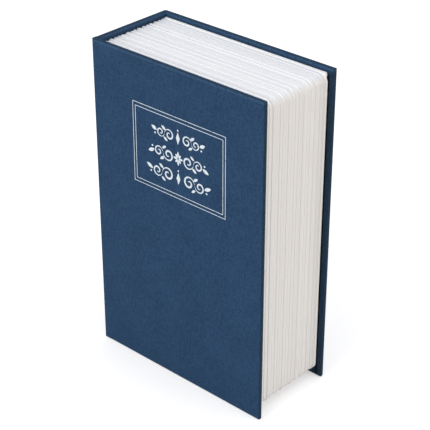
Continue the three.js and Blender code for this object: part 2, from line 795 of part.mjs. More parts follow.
// The plug stands between its face in the flange and the square tail that carries the cam
function lockPlug() {
  const faceFront = flangeFront + plugClearance;
  const turnedPart = turned([
    [0, faceFront],
    [plugFaceRadius, faceFront],
    [plugFaceRadius, flangeFront + plugFaceThickness],
    [plugRadius, flangeFront + plugFaceThickness],
    [plugRadius, barrelBack],
    [0, barrelBack],
  ], lockX, midHeight);
  const half = tailSquare / 2;
  const tail = block([lockX - half, lockX + half], [barrelBack - toolRun, camBack],
    [midHeight - half, midHeight + half]);
  const keyway = block(
    [lockX - keywayWidth / 2, lockX + keywayWidth / 2],
    [faceFront - toolRun, faceFront + keywayDepth],
    [midHeight - keywayHeight / 2, midHeight + keywayHeight / 2],
  );
  const screwHoleY = [camBack - camScrewLength - threadClearance, camBack + toolRun];
  const screwHoleRadius = camScrewRadius + threadClearance;
  const screwHole = shaft(screwHoleRadius, screwHoleY, lockX, midHeight, smallRoundFacets);
  return turnedPart.add(tail).subtract(keyway).subtract(screwHole);
}

const core = new THREE.Group();
core.name = 'lock_core';
addPiece(core, 'lock_plug', lockPlug(), finishes.chrome);

// The cam hangs down when the lock is open and points to the fore edge when it is locked
function lockCam() {
  const shape = new THREE.Shape();
  const tipCentre = midHeight - camReach + camTipRadius;
  shape.absarc(lockX, midHeight, camWidth / 2, 0, Math.PI, false);
  shape.lineTo(lockX - camTipRadius, tipCentre);
  shape.absarc(lockX, tipCentre, camTipRadius, Math.PI, 2 * Math.PI, false);
  const hole = tailSquare / 2 + threadClearance;
  const square = block([lockX - hole, lockX + hole], [camFront - toolRun, camBack + toolRun],
    [midHeight - hole, midHeight + hole]);
  return plate(shape, [camFront, camBack], { curveSegments: smallRoundFacets / 2 }).subtract(square);
}

addPiece(core, 'lock_cam', lockCam(), finishes.zinc);

const camWasherFront = camBack + bondGap;
const camWasherSpan = [camWasherFront, camWasherFront + camWasherThickness];
addPiece(core, 'cam_washer', ring(camWasherRadius, camScrewRadius + threadClearance, camWasherSpan),
  finishes.zinc);

function camScrew() {
  const headFront = camWasherSpan[1] + bondGap;
  const headBack = headFront + camScrewHeadHeight;
  const rim = headFront + camScrewRimHeight;
  const screw = turned([
    [0, camBack - camScrewLength],
    [camScrewRadius, camBack - camScrewLength],
    [camScrewRadius, headFront],
    [camScrewHeadRadius, headFront],
    ...domeProfile(camScrewHeadRadius, rim, camScrewHeadHeight - camScrewRimHeight).reverse(),
  ], lockX, midHeight, smallRoundFacets);
  const half = camScrewSlotWidth / 2;
  const arm = camScrewSlotReach;
  const slotY = [headBack - camScrewSlotDepth, headBack + toolRun];
  const upright = block([lockX - half, lockX + half], slotY, [midHeight - arm, midHeight + arm]);
  const level = block([lockX - arm, lockX + arm], slotY, [midHeight - half, midHeight + half]);
  return screw.subtract(upright).subtract(level);
}

addPiece(core, 'cam_screw', camScrew(), finishes.zinc);
assembly.add(core);

export default assembly;
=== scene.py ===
# %% [markdown]
# # A book safe in Blender
# This lesson dresses a small cash safe that hides in a false book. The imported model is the
# frame: it fixes where every piece is and how it moves. The visible pieces are then modelled
# by hand over it, and each surface gets a finish made of nodes, with no pictures.

# %% Load the frame
import math

import bmesh
import bpy
from mathutils import Matrix, Vector


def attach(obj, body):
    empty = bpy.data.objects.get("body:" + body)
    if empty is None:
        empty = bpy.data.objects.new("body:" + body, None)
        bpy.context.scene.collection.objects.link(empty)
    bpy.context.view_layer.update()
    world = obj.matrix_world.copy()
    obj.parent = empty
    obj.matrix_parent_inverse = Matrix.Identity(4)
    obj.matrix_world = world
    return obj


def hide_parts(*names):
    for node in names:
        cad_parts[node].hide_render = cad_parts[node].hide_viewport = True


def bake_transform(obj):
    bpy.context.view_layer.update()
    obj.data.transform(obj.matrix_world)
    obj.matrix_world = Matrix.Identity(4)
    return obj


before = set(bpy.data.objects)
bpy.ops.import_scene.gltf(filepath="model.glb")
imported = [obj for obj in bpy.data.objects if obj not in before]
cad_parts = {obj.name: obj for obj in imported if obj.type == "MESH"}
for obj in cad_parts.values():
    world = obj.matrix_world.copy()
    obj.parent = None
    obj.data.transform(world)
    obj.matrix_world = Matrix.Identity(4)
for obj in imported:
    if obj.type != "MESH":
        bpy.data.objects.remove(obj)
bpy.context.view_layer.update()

# %% [markdown]
# ## The book's measures
# A case-bound book is two boards and a spine, covered with one sheet of cloth, round a
# block of pages. All lengths here are in millimetres, and the frame says the same ones.
# Blender works in metres, so each length is multiplied by MM where it is used.

# %% Measures
MM = 0.001
spine_x, fore_x = -57.0, 57.0
front_y, back_y = -26.5, 26.5
book_high = 180.0
cover_thick = 2.2
front_inner_y, back_inner_y = front_y + cover_thick, back_y - cover_thick
spine_inner_x = spine_x + cover_thick
cloth_thick = 0.4
turn_in = 12.0
edge_round = 0.6
strip_end_x = -53.1
cover_start_x = -52.8
spine_start_y = -23.65
foil_thick = 0.03
back_corner_round = 1.6
print("book:", fore_x - spine_x, "x", back_y - front_y, "x", book_high, "mm")

# %% [markdown]
# ## Camera
# The photograph was taken from high up on the right with a long lens, so the book's
# upright edges run almost parallel. The place and the lens were fitted to the corners of
# the book. The camera has no tilt and no shift.

# %% Set the camera
def new_object(name, data):
    """An object in the scene, made from a camera, a lamp or a mesh."""
    made = bpy.data.objects.new(name, data)
    bpy.context.scene.collection.objects.link(made)
    return made


camera_turn, camera_rise = math.radians(42.324), math.radians(29.486)
camera_back = Vector((
    math.sin(camera_turn) * math.cos(camera_rise),
    -math.cos(camera_turn) * math.cos(camera_rise),
    math.sin(camera_rise),
))
camera_data = bpy.data.cameras.new("camera")
camera_data.lens = 116.93
camera_data.sensor_width = 36.0
camera_data.clip_start, camera_data.clip_end = 0.01, 60.0
camera = new_object("camera", camera_data)
camera.location = (0.42714, -0.46659, 0.44651)
camera.rotation_mode = "QUATERNION"
camera.rotation_quaternion = (-camera_back).to_track_quat("-Z", "Y")
bpy.context.scene.camera = camera
bpy.context.scene.view_settings.view_transform = "Standard"
print("camera:", [round(v, 3) for v in camera.location], camera_data.lens, "mm")

# %% [markdown]
# ## Tools for modelling
# Every piece starts as a primitive and is then shaped in edit mode. In a script nothing is
# clicked, so faces and edges are chosen by where they are. These few helpers deselect
# everything, add a block between two corners, choose by place, extrude, cut and round what is
# chosen, and smooth a piece. They take millimetres. A modifier is applied as soon as it is
# added, and its settings are Blender's own, in metres.

# %% Modelling helpers
KINDS = {"verts": "VERT", "edges": "EDGE", "faces": "FACE"}


def deselect_all():
    """Leave edit mode, where it is on, and select nothing."""
    if bpy.context.object and bpy.context.object.mode == "EDIT":
        bpy.ops.object.mode_set(mode="OBJECT")
    bpy.ops.object.select_all(action="DESELECT")


def add_block(name, low, high):
    """A box between two corners in millimetres, left in object mode."""
    deselect_all()
    low, high = Vector(low) * MM, Vector(high) * MM
    bpy.ops.mesh.primitive_cube_add(size=1, location=(low + high) / 2, scale=high - low)
    bpy.context.object.name = name
    bpy.ops.object.transform_apply(location=True, rotation=True, scale=True)
    return bpy.context.object


def middle(part):
    """Middle of a vertex, an edge or a face, in millimetres."""
    corners = [part.co] if hasattr(part, "co") else [v.co for v in part.verts]
    return sum(corners, Vector()) / len(corners) / MM


def choose(kind, test):
    """Select only the parts that pass the test, in edit mode."""
    bpy.ops.mesh.select_mode(type=KINDS[kind])
    bpy.ops.mesh.select_all(action="DESELECT")
    mesh = bmesh.from_edit_mesh(bpy.context.object.data)
    for part in getattr(mesh, kind):
        if test(part):
            part.select_set(True)
    mesh.select_flush_mode()
    bmesh.update_edit_mesh(bpy.context.object.data)


def near(value, target, reach=0.01):
    return abs(value - target) < reach


def direction(edge):
    return (edge.verts[1].co - edge.verts[0].co).normalized()


def make_active(piece):
    deselect_all()
    piece.select_set(True)
    bpy.context.view_layer.objects.active = piece


def edit(piece):
    make_active(piece)
    bpy.ops.object.mode_set(mode="EDIT")


def choose_all():
    bpy.ops.mesh.select_all(action="SELECT")


def extrude(move):
    bpy.ops.mesh.extrude_region_move(TRANSFORM_OT_translate={"value": Vector(move) * MM})


def cut_across(place, way):
    """Cut what is chosen along a plane."""
    bpy.ops.mesh.bisect(plane_co=Vector(place) * MM, plane_no=way)


def round_edges(radius, segments):
    bpy.ops.mesh.bevel(offset=radius * MM, segments=segments, affect="EDGES")


def smooth(piece, degrees):
    """Shade it smooth, with the edges that turn by more than the angle left sharp."""
    make_active(piece)
    bpy.ops.object.shade_smooth_by_angle(angle=math.radians(degrees))


def apply_modifier(piece, kind, **settings):
    make_active(piece)
    added = piece.modifiers.new(kind.lower(), kind)
    for name, value in settings.items():
        setattr(added, name, value)
    bpy.ops.object.modifier_apply(modifier=added.name)


def combine(piece, other, operation):
    """Join another piece to this one or cut it out, and remove the other."""
    apply_modifier(piece, "BOOLEAN", operation=operation, object=other, solver="EXACT")
    bpy.data.objects.remove(other)


def triangles(piece):
    return sum(len(face.vertices) - 2 for face in piece.data.polygons)


# %% [markdown]
# ## Tools for finishes
# A finish is a small tree of nodes. Colours are written as the hex values that a colour
# picker shows, and one function turns them to the linear light that Blender computes with.
# Another adds any node with its settings, and feeds each input a value or another node. The
# results are fed to the sockets of the material's shader in the same way.

# %% Finish helpers
def linear(hexcode):
    """Linear colour of an sRGB hex value, with alpha 1."""
    parts = [int(hexcode[i:i + 2], 16) / 255 for i in (1, 3, 5)]
    return [p / 12.92 if p <= 0.04045 else ((p + 0.055) / 1.055) ** 2.4 for p in parts] + [1.0]


def feed(socket, source):
    """Give an input a value, or link it to an output, or to a node's first output."""
    if isinstance(source, bpy.types.Node):
        source = source.outputs[0]
    if isinstance(source, bpy.types.NodeSocket):
        socket.id_data.links.new(source, socket)
    else:
        socket.default_value = source


def add_node(tree, kind, inputs=None, **settings):
    """One shader node with its settings, and what its inputs are fed."""
    added = tree.nodes.new("ShaderNode" + kind)
    for name, value in settings.items():
        setattr(added, name, value)
    for name, source in (inputs or {}).items():
        feed(added.inputs[name], source)
    return added


def feed_shader(shader, **sockets):
    """Feed the shader's sockets by name, with _ for a space."""
    for name, source in sockets.items():
        feed(shader.inputs[name.replace("_", " ")], source)


def new_finish(name, **sockets):
    """A material, its nodes and its Principled shader, with the even values that it gets."""
    made = bpy.data.materials.new(name)
    made.use_nodes = True
    shader = made.node_tree.nodes["Principled BSDF"]
    feed_shader(shader, **sockets)
    return made, made.node_tree, shader


# %% [markdown]
# ## Book cloth
# The cover is a navy cotton in plain weave, filled and dyed, glued to the board. A real
# thread is about 0.4 mm, finer than a pixel here, so the threads are drawn 0.7 mm apart.
# What the eye catches is the flecks, a thread or two wide, where the dye took more or less,
# and the slubs: threads a little thicker for half a centimetre, along and across. The
# pattern reads the piece's own cloth coordinates, in metres along the threads, so that it
# turns the corners with the cloth.

# %% Weave and dye
thread_gap = 0.7
slub_length, slub_width = 5.0, 1.0
fleck_size = 1.2
dye_patches = 55.0  # to a metre

book_cloth, tree, shader = new_finish("filled cotton book cloth, navy", Roughness=0.78,
                                      Specular_IOR_Level=0.08)
along = add_node(tree, "UVMap", uv_map="threads").outputs["UV"]
apart = add_node(tree, "SeparateXYZ", {"Vector": along})
waves = []
for way in ("X", "Y"):
    turned = add_node(tree, "Math", {0: apart.outputs[way], 1: math.pi / (thread_gap * MM)},
                      operation="MULTIPLY")
    waves.append(add_node(tree, "Math", {0: turned}, operation="SINE"))
crossing = add_node(tree, "Math", {0: waves[0], 1: waves[1]}, operation="MULTIPLY")
thread_height = add_node(tree, "Math", {0: crossing}, operation="ABSOLUTE")
slubs = []
for stretch in ((slub_length, slub_width), (slub_width, slub_length)):
    scale = (1 / (stretch[0] * MM), 1 / (stretch[1] * MM), 1.0)
    placed = add_node(tree, "Mapping", {"Vector": along, "Scale": scale})
    slubs.append(add_node(tree, "TexNoise", {"Vector": placed, "Scale": 1.0, "Detail": 2.0},
                          noise_dimensions="2D"))
both_slubs = add_node(tree, "Math", {0: slubs[0], 1: 0.7, 2: slubs[1]}, operation="MULTIPLY_ADD")
flecks, dye = (
    add_node(tree, "TexNoise", {"Vector": along, "Scale": scale, "Detail": detail},
             noise_dimensions="2D")
    for scale, detail in ((1 / (fleck_size * MM), 1.0), (dye_patches, 3.0)))
flecked = add_node(tree, "Math", {0: flecks, 1: 1.3, 2: both_slubs}, operation="MULTIPLY_ADD")
tone = add_node(tree, "Math", {0: dye, 1: 0.6, 2: flecked}, operation="MULTIPLY_ADD")
tone_range = add_node(tree, "MapRange", {"Value": tone, "From Min": 1.4, "From Max": 2.2})
cloth_tones = add_node(tree, "Mix", {0: tone_range, 6: linear("#26405e"), 7: linear("#314e6e")},
                       data_type="RGBA")
thread_shade = add_node(tree, "MapRange", {"Value": thread_height, "To Min": 0.9, "To Max": 1.03})
shade = add_node(tree, "Mix", {0: 1.0, 6: cloth_tones.outputs[2], 7: thread_shade},
                 data_type="RGBA", blend_type="MULTIPLY")
print("threads", thread_gap, "mm apart, flecks of", fleck_size, "mm")

# %% [markdown]
# Light and shade are painted into the cloth's colour by place: a painted highlight just below
# the head, painted shade over the head, round the fore edge, beside the endpapers and a little
# just above the pages, and a painted shadow that blackens the narrow gap behind the pages.

# %% Paint light and shade by place
place = add_node(tree, "TexCoord").outputs["Object"]
in_mm = add_node(tree, "VectorMath", {0: place, "Scale": 1 / MM}, operation="SCALE")
spot = add_node(tree, "SeparateXYZ", {0: in_mm})
off_middle = add_node(tree, "Math", {0: spot.outputs["Y"]}, operation="ABSOLUTE")
places = {}
for name, value, low, high, first, last in (
        ("below the head", spot.outputs["Z"], 178.2, 178.9, 0.0, 1.0),
        ("over the head", spot.outputs["Z"], 179.4, 179.8, 0.0, 0.45),
        ("off the head", spot.outputs["Z"], 179.4, 179.8, 0.0, 1.0),
        ("over the fore edge", spot.outputs["X"], 56.3, 56.7, 0.0, 0.55),
        ("above the pages", spot.outputs["Z"], 177.0, 178.6, 0.6, 0.0),
        ("fore margin", spot.outputs["X"], 52.8, 53.1, 0.0, 1.0),
        ("under the corner", spot.outputs["Z"], 175.0, 178.0, 1.0, 0.0),
        ("inside", off_middle, 24.5, 24.8, 1.0, 0.0),
        ("beside the endpaper", spot.outputs["X"], 53.6, 55.4, 1.0, 0.45),
        ("in the gap", spot.outputs["X"], 53.9, 54.4, 1.0, 0.0)):
    places[name] = add_node(tree, "MapRange", {
        "Value": value, "From Min": low, "From Max": high, "To Min": first, "To Max": last})
# Painted highlight: a band just below the head is brightened, as light from above falls there.
painted_head_highlight = add_node(tree, "Math", {0: places["below the head"], 1: places["off the head"]},
                  operation="SUBTRACT", use_clamp=True)
# Painted shade: the back cover's inner fore margin beside the pages, where the page block shades
# it.
margin = places["beside the endpaper"]
for name in ("fore margin", "under the corner", "inside"):
    margin = add_node(tree, "Math", {0: margin, 1: places[name]}, operation="MULTIPLY")
# Painted shadow: the narrow gap behind the pages is blackened.
gap = add_node(tree, "Math", {0: margin, 1: places["in the gap"]}, operation="MULTIPLY")
# Painted shade: darker over the head, round the fore edge, beside the endpapers and a little just
# above the pages.
painted_edge_shade = add_node(tree, "Math", {0: places["above the pages"], 1: places["inside"]},
                operation="MULTIPLY")
for edge in (margin, places["over the head"], places["over the fore edge"]):
    painted_edge_shade = add_node(tree, "Math", {0: painted_edge_shade, 1: edge}, operation="MAXIMUM")
# Multiply the painted highlight, the painted shade and the painted shadow into the cloth.
cloth_with_painted_light = shade
for amount, colour in ((painted_head_highlight, (1.65, 1.42, 1.28, 1.0)), (painted_edge_shade, (0.5, 0.36, 0.2, 1.0)),
                       (gap, (0.15, 0.15, 0.2, 1.0))):
    cloth_with_painted_light = add_node(tree, "Mix", {0: amount, 6: cloth_with_painted_light.outputs[2], 7: colour},
                    data_type="RGBA", blend_type="MULTIPLY")
relief = add_node(tree, "Math", {0: both_slubs, 1: 0.5, 2: thread_height},
                  operation="MULTIPLY_ADD")
bump = add_node(tree, "Bump", {"Height": relief, "Strength": 0.4, "Distance": 0.06 * MM})
feed_shader(shader, Base_Color=cloth_with_painted_light.outputs[2], Normal=bump)
print("made", book_cloth.name)


# %% Lay the threads on a piece of cloth
def lay_threads(piece):
    """Cloth coordinates in metres: the warp along the book's height, the weft across."""
    layer = piece.data.uv_layers.new(name="threads")
    points = piece.data.vertices
    for face in piece.data.polygons:
        n = face.normal
        flat = max((abs(n.x), 0), (abs(n.y), 1), (abs(n.z), 2))[1]
        for loop in face.loop_indices:
            p = points[piece.data.loops[loop].vertex_index].co
            across = (p.y, p.x, p.x)[flat]
            up = (p.z, p.z, p.z + p.y)[flat]
            layer.data[loop].uv = (across, up)


def thicken_cloth(piece):
    apply_modifier(piece, "SOLIDIFY", thickness=cloth_thick * MM, offset=-1.0,
                   use_even_offset=True)


def finish_cloth(piece):
    smooth(piece, 40)
    lay_threads(piece)
    piece.data.materials.append(book_cloth)
    print(piece.name, triangles(piece), "triangles")


# %% [markdown]
# ## The front cover's cloth
# The binder lays the board on the glued cloth, cuts the corners and folds the margins over
# onto the inside. Here the closed slab is rounded along its free edges, the inner face is
# cut open inside the turned-in margin, the end at the joint is opened, and Solidify gives
# the skin its thickness. That keeps the board a piece of its own, as in the real cover.

# %% Model the front cover's cloth
def open_inside(inner_y, window_x):
    """Cut the window inside the turned-in margins out of a cover's inner face."""
    window_z = (turn_in, book_high - turn_in)
    cuts = [((0, 0, z), (0, 0, 1)) for z in window_z] + [((x, 0, 0), (1, 0, 0)) for x in window_x]
    for place, way in cuts:
        choose("faces", lambda f: near(middle(f).y, inner_y) and abs(f.normal.y) > 0.9)
        cut_across(place, way)
    inside_x = (min(window_x), max(window_x)) if len(window_x) > 1 else (spine_x, window_x[0])
    choose("faces", lambda f: near(middle(f).y, inner_y) and abs(f.normal.y) > 0.9
           and inside_x[0] < middle(f).x < inside_x[1]
           and window_z[0] < middle(f).z < window_z[1])
    bpy.ops.mesh.delete(type="FACE")


cover_face_y = front_y + foil_thick
front_cloth = add_block("front_cover_cloth", (cover_start_x, cover_face_y, 0),
                        (fore_x, front_inner_y, book_high))
edit(front_cloth)
choose("edges", lambda e: not near(middle(e).x, cover_start_x))
round_edges(edge_round, 4)
open_inside(front_inner_y, [fore_x - turn_in])
choose("faces", lambda f: near(middle(f).x, cover_start_x))
bpy.ops.mesh.delete(type="FACE")
thicken_cloth(front_cloth)
finish_cloth(front_cloth)
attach(front_cloth, "front_cover")
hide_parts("front_cloth")

# %% [markdown]
# ## The cloth of the spine and the back cover
# The same sheet runs on over the square spine and round to the back cover, which never
# move against each other, so both are one piece. The spine is extruded out of the back
# slab, the corner between them is rounded more than the board edges, and the margins are
# turned in at the top, the bottom and the fore edge.

# %% Model the case cloth
nearly_flat = 0.3  # radians
case_cloth = add_block("case_cloth", (spine_x, back_inner_y, 0), (fore_x, back_y, book_high))
edit(case_cloth)
choose("faces", lambda f: f.normal.y < -0.9)
cut_across((spine_inner_x, 0, 0), (1, 0, 0))
choose("faces", lambda f: f.normal.y < -0.9 and middle(f).x < spine_inner_x)
extrude((0, spine_start_y - back_inner_y, 0))
choose("edges", lambda e: near(middle(e).x, spine_x) and near(middle(e).y, back_y))
round_edges(back_corner_round, 6)


def free_edge(edge):
    """An edge along the top, the bottom or the fore edge, but not at the cloth joint."""
    place = middle(edge)
    long_way = abs(direction(edge).z) < 0.5
    end = near(place.z, 0) or near(place.z, book_high)
    at_fore = near(place.x, fore_x)
    at_joint = near(place.y, spine_start_y)
    inside_slab = edge.is_manifold and edge.calc_face_angle(0) < nearly_flat
    return (end and long_way or at_fore) and not at_joint and not inside_slab


choose("edges", free_edge)
round_edges(edge_round, 4)
open_inside(back_inner_y, [fore_x - turn_in, spine_inner_x])
for height in (turn_in, book_high - turn_in):
    choose("faces", lambda f: f.normal.x > 0.9 and near(middle(f).x, spine_inner_x))
    cut_across((0, 0, height), (0, 0, 1))
choose("faces", lambda f: f.normal.x > 0.9 and near(middle(f).x, spine_inner_x)
       and turn_in < middle(f).z < book_high - turn_in)
bpy.ops.mesh.delete(type="FACE")
choose("faces", lambda f: near(middle(f).y, spine_start_y))
bpy.ops.mesh.delete(type="FACE")
thicken_cloth(case_cloth)
finish_cloth(case_cloth)
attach(case_cloth, "case")
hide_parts("spine_cloth", "back_cloth")

# %% [markdown]
# ## The cloth joint
# Between the spine and the front board the cloth is free, and the book opens there. It folds
# twice: at the spine's corner, as the lid lifts the cover, and at the board's edge, as the
# cover swings on. Each fold is a piece of cloth, and they meet on the strip between the folds.
# Each starts as a thin block, is extruded round the corner where it has one, and gets rows of
# points cut across the fold.

# %% Model the cloth joint
strip_meet_x = -54.9
corner_radius = 0.45
corner_x, corner_y = spine_x + corner_radius, front_y + corner_radius
strip_back_y = cover_face_y + cloth_thick
fold_end_round = 0.3


def crease_rows(low, high, way, count):
    """Cut rows across a strip of cloth, so that it has points to bend with."""
    for step in range(1, count + 1):
        place = Vector(low).lerp(Vector(high), step / (count + 1))
        choose_all()
        cut_across(place, way)


def on_fold_end(edge):
    """An edge of the cloth's outer face, along the head or the tail."""
    place = middle(edge)
    at_end = near(place.z, 0) or near(place.z, book_high)
    outside = (place.y < cover_face_y + 0.01 or place.x < spine_x + 0.01
               or (place.x < corner_x and place.y < corner_y))
    return at_end and outside and not near(place.y, spine_start_y)


board_side = add_block("joint_cloth_board_side", (strip_meet_x, cover_face_y, 0),
                       (cover_start_x, strip_back_y, book_high))
edit(board_side)
choose("edges", on_fold_end)
round_edges(fold_end_round, 3)
crease_rows((strip_meet_x, 0, 0), (cover_start_x, 0, 0), (1, 0, 0), 12)
finish_cloth(board_side)
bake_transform(board_side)

spine_side = add_block("joint_cloth_spine_side", (spine_x, cover_face_y, 0),
                       (spine_x + cloth_thick, spine_start_y, book_high))
edit(spine_side)
choose("faces", lambda f: f.normal.x > 0.9)
cut_across((0, strip_back_y, 0), (0, 1, 0))
choose("faces", lambda f: f.normal.x > 0.9 and middle(f).y < strip_back_y)
extrude((strip_meet_x - spine_x - cloth_thick, 0, 0))
choose("edges", lambda e: near(middle(e).x, spine_x) and near(middle(e).y, cover_face_y))
round_edges(corner_radius, 6)
choose("edges", on_fold_end)
round_edges(fold_end_round, 3)
crease_rows((spine_x, spine_start_y, 0), (spine_x, corner_y, 0), (0, 1, 0), 6)
crease_rows((corner_x, 0, 0), (strip_meet_x, 0, 0), (1, 0, 0), 6)
finish_cloth(spine_side)
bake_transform(spine_side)

# %% [markdown]
# Behind the free strip the cloth's turned-in margins are folded into a narrow pad as thick
# as the board, which fills the joint when the book is shut. A lip on it closes the gap in
# front of the spine board. It moves with the strip.

# %% Model the pad behind the joint
bond_gap, corner_gap, pad_end_inset, lip_gap, lip_round = 0.02, 0.05, 0.25, 0.1, 0.12
lip_end_x = spine_inner_x - lip_gap
joint_pad = add_block(
    "joint_pad", (corner_x + corner_gap, strip_back_y + bond_gap, pad_end_inset),
    (strip_end_x - bond_gap, front_inner_y, book_high - pad_end_inset))
edit(joint_pad)
choose("faces", lambda f: f.normal.y > 0.9)
cut_across((lip_end_x, 0, 0), (1, 0, 0))
choose("faces", lambda f: f.normal.y > 0.9 and middle(f).x < lip_end_x)
extrude((0, spine_start_y - lip_gap - front_inner_y, 0))
choose("edges", lambda e: middle(e).y > front_inner_y + lip_gap)
round_edges(lip_round, 2)
finish_cloth(joint_pad)
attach(joint_pad, "cloth_joint")
for piece in (board_side, spine_side, joint_pad):
    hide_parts("hinge_cloth")

# %% [markdown]
# ## White moulded pages
# The pages are one hollow moulding in white polystyrene. The mould is ribbed so that light
# catches its three outer sides as it does the cut edges of leaves. The plastic is white
# with a faint silk, a touch cooler or warmer from rib to rib, as the ribs don't cool alike.
# A few crests are burnished by the mould and look brighter, and a few grooves are dull.
# The fore side is painted an even warm white, as the side light falls on it, and the two outer
# rims are painted bright as highlights.

# %% Moulded page finish
pages, tree, shader = new_finish("white polystyrene, ribbed mould", Roughness=0.42)
place = add_node(tree, "TexCoord").outputs["Object"]
noises = []
for rib_wide in (2.0, 1.3):
    across = add_node(tree, "Mapping", {"Vector": place, "Scale": (0.0, 1 / (rib_wide * MM), 0.0)})
    noises.append(add_node(tree, "TexNoise", {"Vector": across, "Scale": 1.0, "Detail": 1.0}))
tint = add_node(tree, "ValToRGB", {0: noises[0]})
for position, hexcode in ((0.3, "#d6d8dd"), (0.4, "#e6e6e8"), (0.5, "#dfe1e4"), (0.6, "#eae9ec"),
                          (0.7, "#e0e0e0")):
    stop = tint.color_ramp.elements.new(position)
    stop.color = linear(hexcode)
tint.color_ramp.elements.remove(tint.color_ramp.elements[0])
tint.color_ramp.elements.remove(tint.color_ramp.elements[-1])
page_tones = tint
for low, high, hexcode in ((0.57, 0.6, "#f3f4f7"), (0.43, 0.4, "#dadce0")):
    marked = add_node(tree, "MapRange", {"Value": noises[1], "From Min": low, "From Max": high})
    page_tones = add_node(tree, "Mix", {0: marked, 6: page_tones, 7: linear(hexcode)},
                          data_type="RGBA").outputs[2]
spot = add_node(tree, "SeparateXYZ", {0: place})
off_middle = add_node(tree, "Math", {0: spot.outputs["Y"]}, operation="ABSOLUTE")
# Painted light: the fore side is tinted an even warm white, as the warm side light falls there.
painted_fore_side_light = add_node(tree, "MapRange", {
    "Value": spot.outputs["X"], "From Min": 51.6 * MM, "From Max": 53.2 * MM, "To Max": 0.8})
# Painted highlight: the front and back rims of the pages are painted near white.
painted_rim_highlight = add_node(tree, "MapRange", {
    "Value": off_middle, "From Min": 22.8 * MM, "From Max": 23.0 * MM})
for amount, hexcode in ((painted_fore_side_light, "#e8e5e2"), (painted_rim_highlight, "#fefefc")):
    page_tones = add_node(tree, "Mix", {0: amount, 6: page_tones, 7: linear(hexcode)},
                          data_type="RGBA").outputs[2]
feed_shader(shader, Base_Color=page_tones)
print("made", pages.name)

# %% [markdown]
# ## The page moulding
# Its profile is drawn once: 34 ribs of uneven width and height, each scored into leaves.
# The mould's leaves are about 0.4 mm thick, finer than a pixel, so they are drawn 0.75 mm
# thick. A circle is opened at one edge and its points are moved to that profile, which is
# extruded along the top, spun round the fore corner, extruded down the fore edge, spun and
# extruded back. The block reaches half a millimetre further at the fore edge than the
# frame's, since no endpaper stands out past it there.
#
# At both ends by the spine the ribs run out in teeth, which get shallower towards the back,
# so the last ring of points is notched. At the tail the ribs rise and fall together, which
# gives the wavy lower edge. The front, back and spine sides are filled, and the pan for the
# steel box is cut out with Boolean, as the mould's core would do.

# %% Draw the rib profile
pages_spine_x, pages_fore_x = -54.78, 53.7
pages_front_y, pages_back_y = -23.88, 23.96
pages_low, pages_high = 3.1, 176.9
page_corner = 5.0
rib_count, rib_depth, rib_stagger, rib_groove = 34, 0.34, 0.3, 0.26
leaf_thick, leaf_score = 0.75, 0.1

shares = [1 + 0.45 * math.sin(2.4 * r + 1.3 * math.sin(1.7 * r)) for r in range(rib_count)]
profile = []
y = pages_front_y
for r, share in enumerate(shares):
    width = (pages_back_y - pages_front_y) * share / sum(shares)
    crest = rib_stagger * (1 + math.sin(3.9 * r + 0.8)) / 2 if 0 < r < rib_count - 1 else 0.0
    groove = min(rib_groove, 0.3 * width)
    first, last = y + (groove if r else 0), y + width - (groove if r < rib_count - 1 else 0)
    leaves = max(1, round((last - first) / leaf_thick))
    for leaf in range(leaves):
        a, b = (first + (last - first) * k / leaves for k in (leaf, leaf + 1))
        uneven = 0.03 * (1 + math.sin(5.1 * leaf + 2.3 * r))
        lip = 0.16 * (b - a)
        profile += [(a + lip, crest + uneven), (b - lip, crest + uneven)]
        if leaf < leaves - 1:
            profile.append((b, crest + leaf_score))
    if r < rib_count - 1:
        profile.append((y + width, crest + rib_depth))
    y += width
rim_round = ((0.0, 0.35), (0.06, 0.16), (0.2, 0.04), (0.45, 0.0))
profile = ([(pages_front_y + out, inset) for out, inset in rim_round]
           + [(y, inset) for y, inset in profile
              if pages_front_y + 0.8 < y < pages_back_y - 0.8]
           + [(pages_back_y - out, inset) for out, inset in reversed(rim_round)])
tooth_long, tooth_deep, tooth_wide, tooth_fade = 1.2, 0.8, 2.9, 0.6
notches = []
for y, inset in profile:
    wave = math.sin(2 * math.pi * (y - pages_front_y) / tooth_wide + 0.9 * math.sin(0.6 * y))
    shallower = 1 - tooth_fade * (y - pages_front_y) / (pages_back_y - pages_front_y)
    notches.append(tooth_deep * shallower * max(0.0, wave) ** 1.5)
print("profile points:", len(profile))

# %% Sweep the profile round three sides
deselect_all()
bpy.ops.mesh.primitive_circle_add(vertices=len(profile), radius=1)
page_block = bpy.context.object
page_block.name = "page_moulding"
edit(page_block)
choose("edges", lambda e: {v.index for v in e.verts} == {0, len(profile) - 1})
bpy.ops.mesh.delete(type="EDGE")
mesh = bmesh.from_edit_mesh(page_block.data)
for vertex, (y, inset), notch in zip(sorted(mesh.verts, key=lambda v: v.index), profile, notches):
    vertex.co = Vector((pages_spine_x, y, pages_high - inset - notch)) * MM
bmesh.update_edit_mesh(page_block.data)


def extrude_ring(move, rise=0):
    """Extrude the selected ring and raise its new points by so many times their notch."""
    extrude(move)
    mesh = bmesh.from_edit_mesh(page_block.data)
    ring = sorted((v for v in mesh.verts if v.select), key=lambda v: v.co.y)
    for vertex, notch in zip(ring, notches):
        vertex.co.z += rise * notch * MM
    bmesh.update_edit_mesh(page_block.data)


